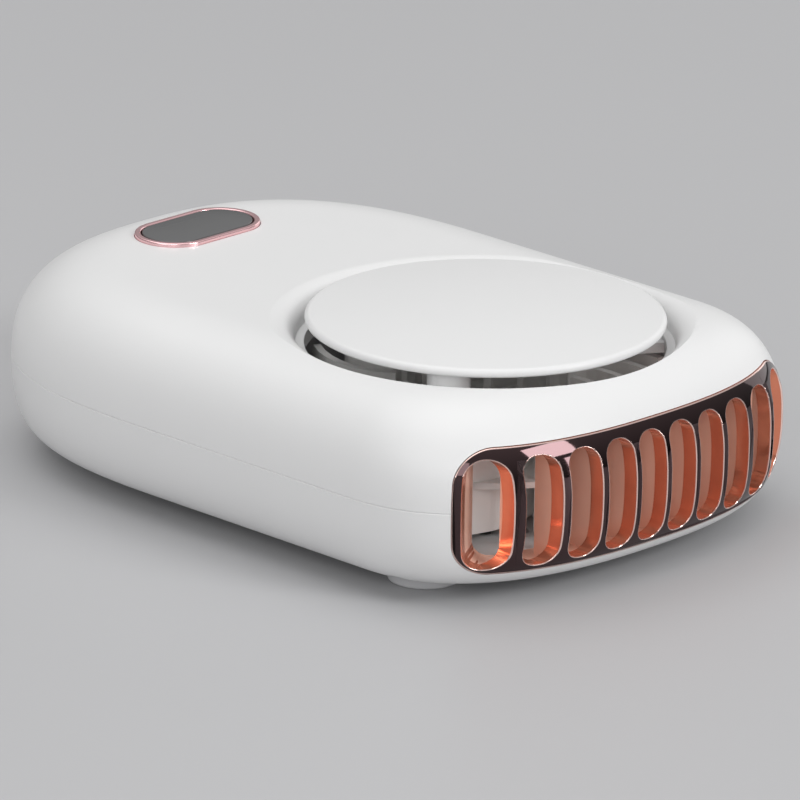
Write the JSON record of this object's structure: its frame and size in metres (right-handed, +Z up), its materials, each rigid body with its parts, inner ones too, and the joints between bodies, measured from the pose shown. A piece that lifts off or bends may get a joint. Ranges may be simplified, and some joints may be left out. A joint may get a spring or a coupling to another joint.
{
  "type": "neck fan",
  "caption": "Flat rounded pocket neck fan with a floating round intake cover, a curved slotted air outlet, an oval power button and round feet.",
  "frame": {"origin": "on the table under the middle of the whole fan", "axes": "+Z up out of the intake side, -Y out of the air outlet, +Y towards the button and the charging socket, X across"},
  "size_m": [0.07, 0.1022, 0.0281],
  "materials": {
    "white_shell": "satin",
    "white_cover": "satin",
    "rose_plating": "mirror bright rose gold plating on plastic",
    "pink_plating": "bright pink gold plating on plastic",
    "grey_button": "gloss",
    "impeller_plastic": "satin",
    "foot_rubber": "matte",
    "steel": "brushed",
    "rotor_steel": "satin",
    "switch_steel": "satin",
    "black_plastic": "satin",
    "board_green": "semi gloss",
    "chip_black": "matte",
    "battery_foil": "satin",
    "foam": "matte",
    "brass": "satin",
    "sintered_bronze": "matte",
    "washer_plastic": "satin",
    "core_steel": "matte",
    "copper_wire": "gloss lacquer",
    "magnet": "matte"
  },
  "bodies": {
    "housing": {"front_shell": "white_shell", "rear_shell": "white_shell", "outlet_grille": "rose_plating", "intake_cover": "white_cover", "button_trim": "pink_plating", "switch_body": "switch_steel", "circuit_board": "board_green", "board_chips": "chip_black", "board_screws": "steel", "charging_socket": "switch_steel", "socket_tongue": "black_plastic", "battery_cell": "battery_foil", "battery_pad": "foam", "shell_screws": "steel", "foot_pads": "foot_rubber", "strap_pin": "steel", "motor_base": "brass", "motor_board": "board_green", "motor_screws": "steel", "thrust_washer": "washer_plastic", "lower_bearing": "sintered_bronze", "upper_bearing": "sintered_bronze", "stator_core": "core_steel", "stator_coils": "copper_wire"},
    "rotor": {"motor_shaft": "rotor_steel", "magnet_ring": "magnet", "rotor_cup": "rotor_steel", "impeller": "impeller_plastic"},
    "button": {"power_button": "grey_button", "switch_plunger": "black_plastic"}
  },
  "joints": [
    {"name": "fan_spin", "type": "hinge", "parent": "housing", "child": "rotor", "pos_m": [0, -0.01843, 0.012], "axis": [0, 0, 1], "continuous": true},
    {"name": "button_press", "type": "slide", "parent": "housing", "child": "button", "axis": [0, 0, -1], "range_m": [0, 0.0004], "stiffness_N_per_m": 400, "springref_m": -0.0002}
  ]
}
